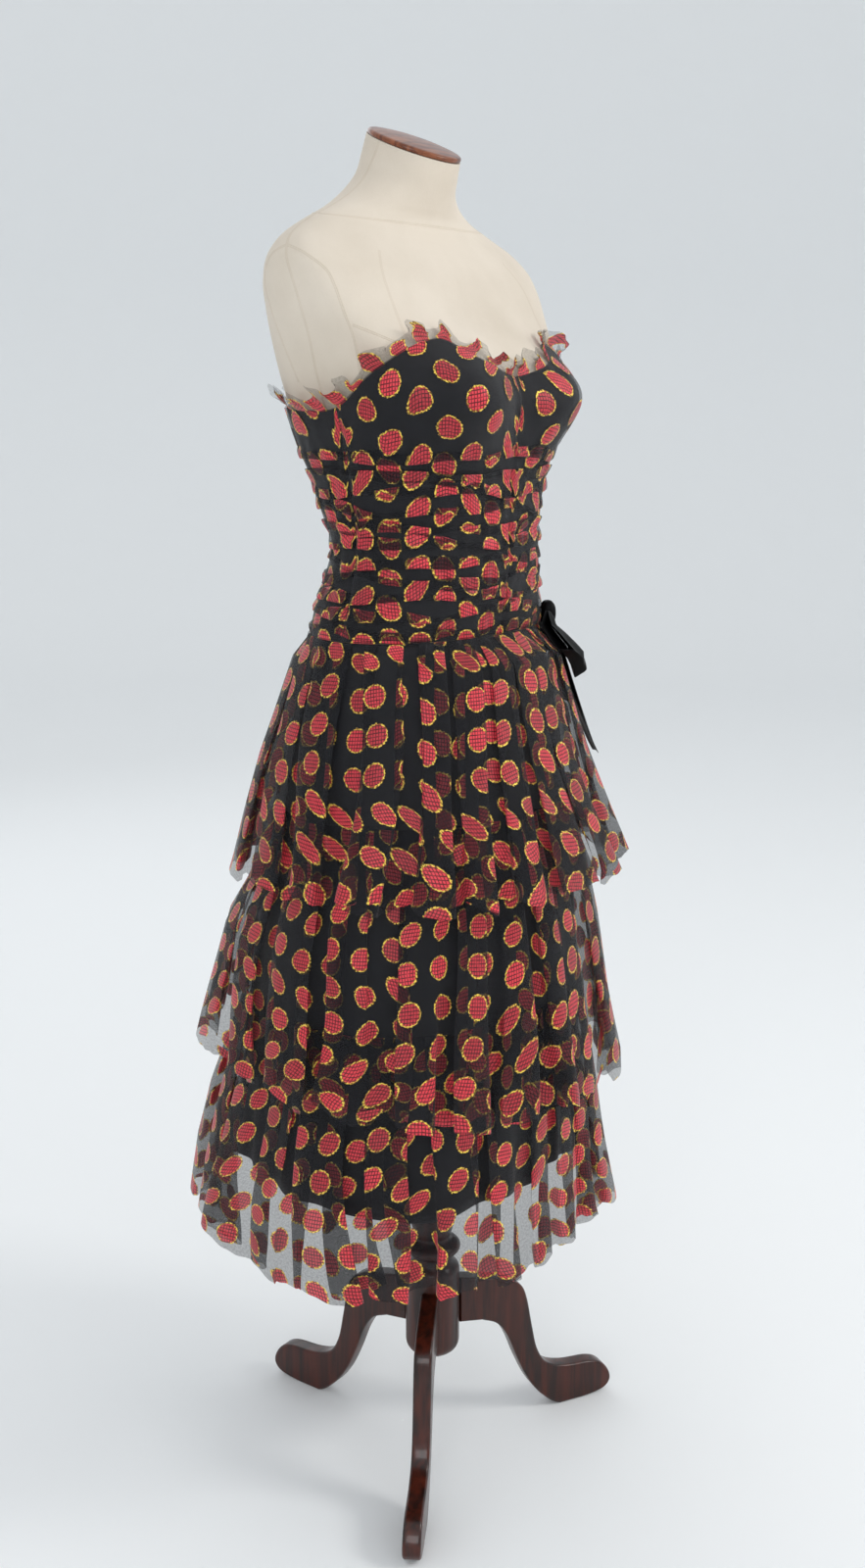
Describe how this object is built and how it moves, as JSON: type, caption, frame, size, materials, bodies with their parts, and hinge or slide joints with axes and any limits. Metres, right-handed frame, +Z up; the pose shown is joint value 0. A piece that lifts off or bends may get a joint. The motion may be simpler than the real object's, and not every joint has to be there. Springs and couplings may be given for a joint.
{
  "type": "strapless party dress on a limbless dress form with a stand",
  "caption": "Strapless party dress of dotted net with a ruched bodice, gathered tiers over a lining, a satin bow and a back zip, on a limbless canvas dress form and wooden tripod stand.",
  "frame": {"origin": "middle of the whole at floor height, on the plane of the three feet", "axes": "+Z up, -Y out of the dress's front, +X towards the wearer's left side"},
  "size_m": [0.5274, 0.5433, 1.5949],
  "materials": {
    "form_canvas": "cream cotton canvas, plain weave, matt",
    "dotted_net": "black net with woven red dots edged in gold thread",
    "lining_cloth": "black woven lining, faint sheen",
    "bow_satin": "black satin ribbon",
    "mahogany": "dark red-brown polished wood",
    "zip_metal": "black coated metal"
  },
  "bodies": {
    "dress_form_stand": {"form_torso": "form_canvas", "neck_cap": "mahogany", "stand_post": "mahogany", "stand_leg_1": "mahogany", "stand_leg_2": "mahogany", "stand_leg_3": "mahogany", "bodice_front_right": "dotted_net", "bodice_front_left": "dotted_net", "bodice_back_left": "dotted_net", "bodice_back_right": "dotted_net", "top_frill": "dotted_net", "skirt_lining": "lining_cloth", "skirt_tier_1": "dotted_net", "skirt_tier_2": "dotted_net", "skirt_tier_3": "dotted_net", "bow_loop_front": "bow_satin", "bow_loop_back": "bow_satin", "bow_tail_long": "bow_satin", "bow_tail_short": "bow_satin", "bow_knot": "bow_satin", "zip_chain": "zip_metal", "zip_slider": "zip_metal"},
    "zip_pull_tab": {"zip_pull": "zip_metal"}
  },
  "joints": [
    {"name": "zip_pull_hinge", "type": "hinge", "parent": "dress_form_stand", "child": "zip_pull_tab", "pos_m": [0.00099, 0.0935, 1.278], "axis": [1, 0, 0], "range_deg": [0, 120]}
  ]
}
